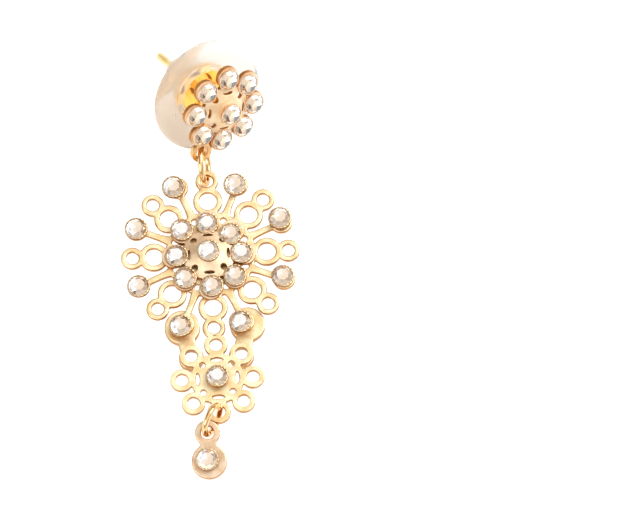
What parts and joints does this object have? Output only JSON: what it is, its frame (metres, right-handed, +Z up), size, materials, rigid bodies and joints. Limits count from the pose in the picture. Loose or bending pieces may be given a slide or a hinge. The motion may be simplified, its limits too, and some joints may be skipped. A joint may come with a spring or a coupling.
{
  "type": "chandelier earring",
  "caption": "Post earring lying down: stone-set domed stud with a soft disc clutch, pierced sunburst plate, flower drop and a small pendant.",
  "frame": {"origin": "middle of the outline, on the surface that the earring lies on", "axes": "+Z up from that surface, +Y along the earring from the pendant to the stud"},
  "size_m": [0.0178, 0.0454, 0.0109],
  "materials": {
    "matte_gold": "matte",
    "polished_gold": "polished",
    "crystal": "polished",
    "silicone": "matte"
  },
  "bodies": {
    "earring": {"stud_head": "matte_gold", "filigree_drop": "matte_gold", "pendant_disc": "matte_gold", "top_jump_ring": "polished_gold", "lower_jump_ring": "polished_gold", "stud_stone_1": "crystal", "stud_stone_2": "crystal", "stud_stone_3": "crystal", "stud_stone_4": "crystal", "stud_stone_5": "crystal", "stud_stone_6": "crystal", "stud_stone_7": "crystal", "stud_stone_8": "crystal", "stud_stone_9": "crystal", "cluster_stone_1": "crystal", "cluster_stone_2": "crystal", "cluster_stone_3": "crystal", "cluster_stone_4": "crystal", "cluster_stone_5": "crystal", "cluster_stone_6": "crystal", "cluster_stone_7": "crystal", "cluster_stone_8": "crystal", "cluster_stone_9": "crystal", "ray_stone_1": "crystal", "ray_stone_2": "crystal", "ray_stone_3": "crystal", "ray_stone_4": "crystal", "ray_stone_5": "crystal", "ray_stone_6": "crystal", "ray_stone_7": "crystal", "ray_stone_8": "crystal", "flower_stone": "crystal", "pendant_stone": "crystal"},
    "clutch": {"clutch_disc": "silicone", "clutch_insert": "polished_gold"}
  },
  "joints": [
    {"name": "clutch_slide", "type": "slide", "parent": "earring", "child": "clutch", "axis": [-0.5191, 0.6888, -0.506], "range_m": [0, 0.0095]}
  ]
}
